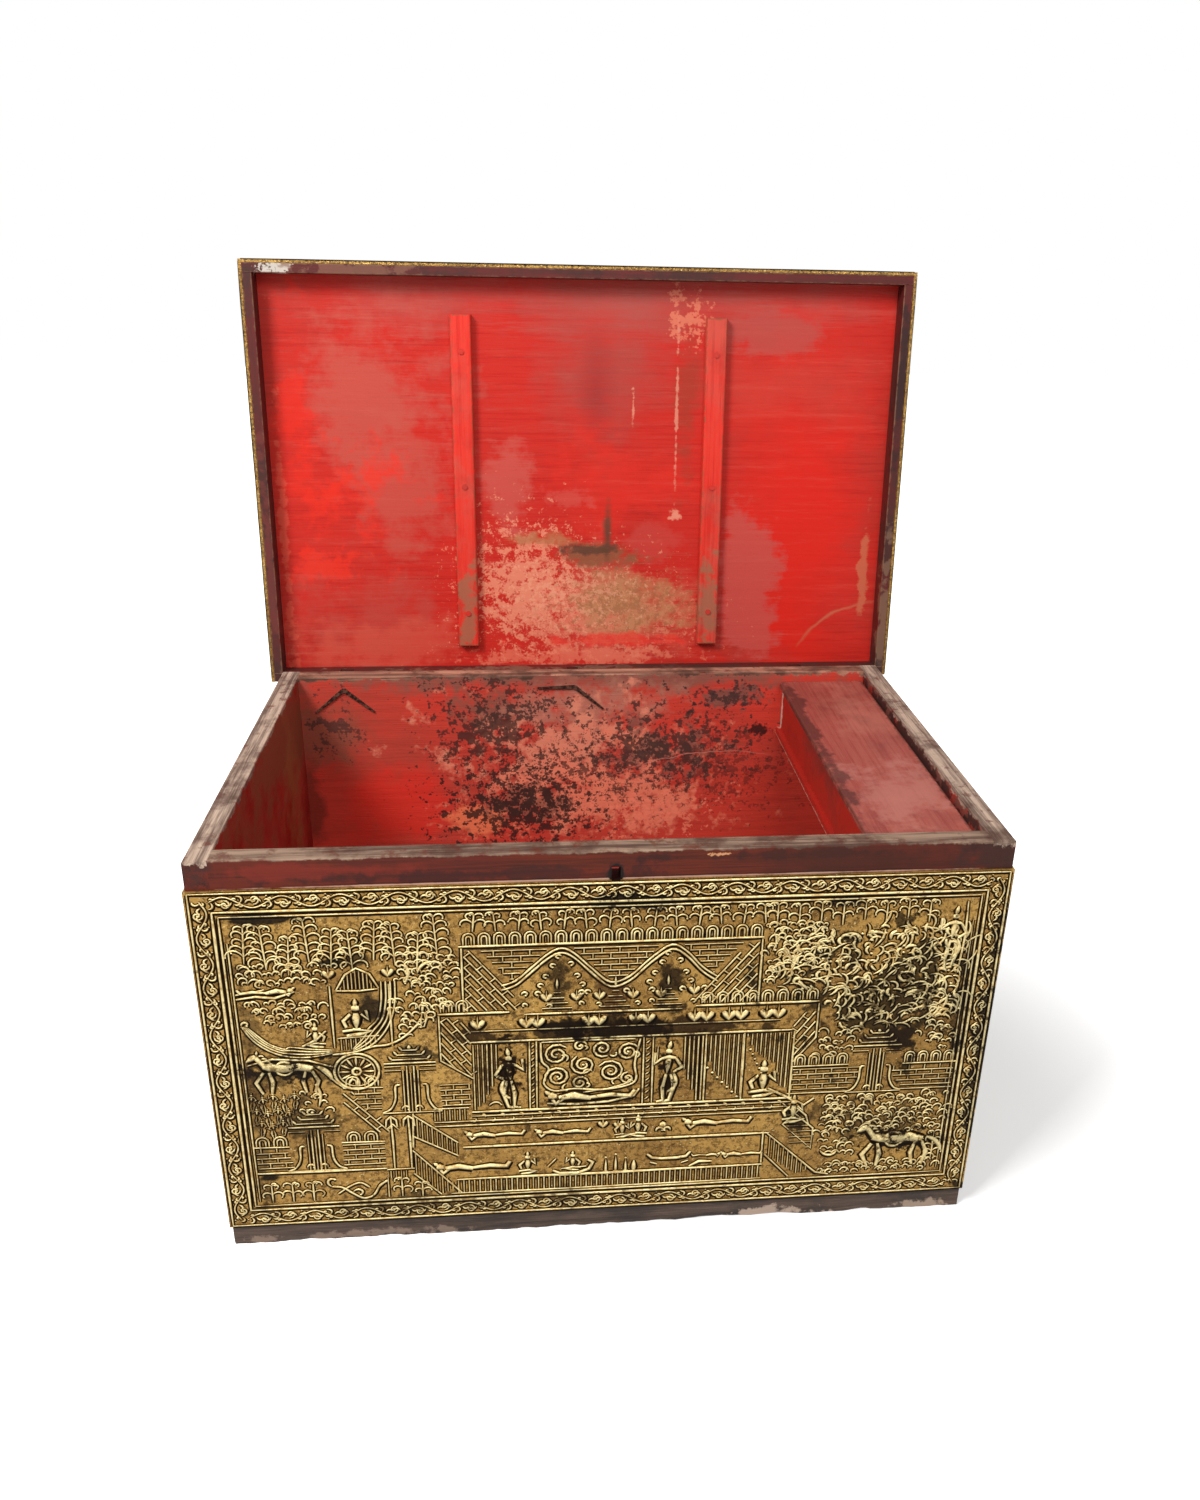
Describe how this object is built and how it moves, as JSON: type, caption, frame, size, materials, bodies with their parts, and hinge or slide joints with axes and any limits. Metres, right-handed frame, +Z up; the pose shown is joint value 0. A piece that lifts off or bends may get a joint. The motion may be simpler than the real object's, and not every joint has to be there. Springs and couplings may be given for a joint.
{
  "type": "manuscript chest",
  "caption": "Rectangular lacquered and gilded manuscript chest, shown open, with a hinged cap lid, two lid battens, linked-eye hinges and a small covered till inside.",
  "frame": {"origin": "centre of the chest's flat underside", "axes": "+X to the right along the front, +Y to the back where the lid is hinged, +Z up"},
  "size_m": [0.938, 0.6634, 1.1021],
  "materials": {
    "maroon_lacquer": "satin",
    "red_lacquer": "satin",
    "dusty_red_lacquer": "matte",
    "gilded_gesso": "satin",
    "worn_base_wood": "matte",
    "peg_wood": "matte",
    "hinge_iron": "matte",
    "nail_iron": "matte"
  },
  "bodies": {
    "chest": {"front_board": "maroon_lacquer", "back_board": "maroon_lacquer", "left_board": "maroon_lacquer", "right_board": "maroon_lacquer", "bottom_plank_front": "worn_base_wood", "bottom_plank_rear": "worn_base_wood", "corner_pegs": "peg_wood", "bottom_pegs": "peg_wood", "front_gilding": "gilded_gesso", "left_gilding": "gilded_gesso", "right_gilding": "gilded_gesso", "till_side_board": "red_lacquer", "till_bottom_board": "red_lacquer", "box_hinge_eye_left": "hinge_iron", "box_hinge_eye_centre": "hinge_iron", "box_hinge_eye_right": "hinge_iron"},
    "lid": {"lid_panel": "red_lacquer", "lid_front_rail": "maroon_lacquer", "lid_back_rail": "maroon_lacquer", "lid_left_rail": "maroon_lacquer", "lid_right_rail": "maroon_lacquer", "lid_rail_nails": "nail_iron", "lid_batten_left": "red_lacquer", "lid_batten_right": "red_lacquer", "lid_batten_nails": "nail_iron", "lid_top_gilding": "gilded_gesso", "lid_front_gilding": "gilded_gesso", "lid_left_gilding": "gilded_gesso", "lid_right_gilding": "gilded_gesso", "lid_hinge_eye_left": "hinge_iron", "lid_hinge_eye_centre": "hinge_iron", "lid_hinge_eye_right": "hinge_iron"},
    "till_cover": {"till_cover": "dusty_red_lacquer"}
  },
  "joints": [
    {"name": "lid_hinge", "type": "hinge", "parent": "chest", "child": "lid", "pos_m": [0, 0.2955, 0.5108], "axis": [-1, 0, 0], "range_deg": [-94.7, 0]},
    {"name": "till_cover_hinge", "type": "hinge", "parent": "chest", "child": "till_cover", "pos_m": [0.412, 0, 0.512], "axis": [0, 1, 0], "range_deg": [0, 6]}
  ]
}
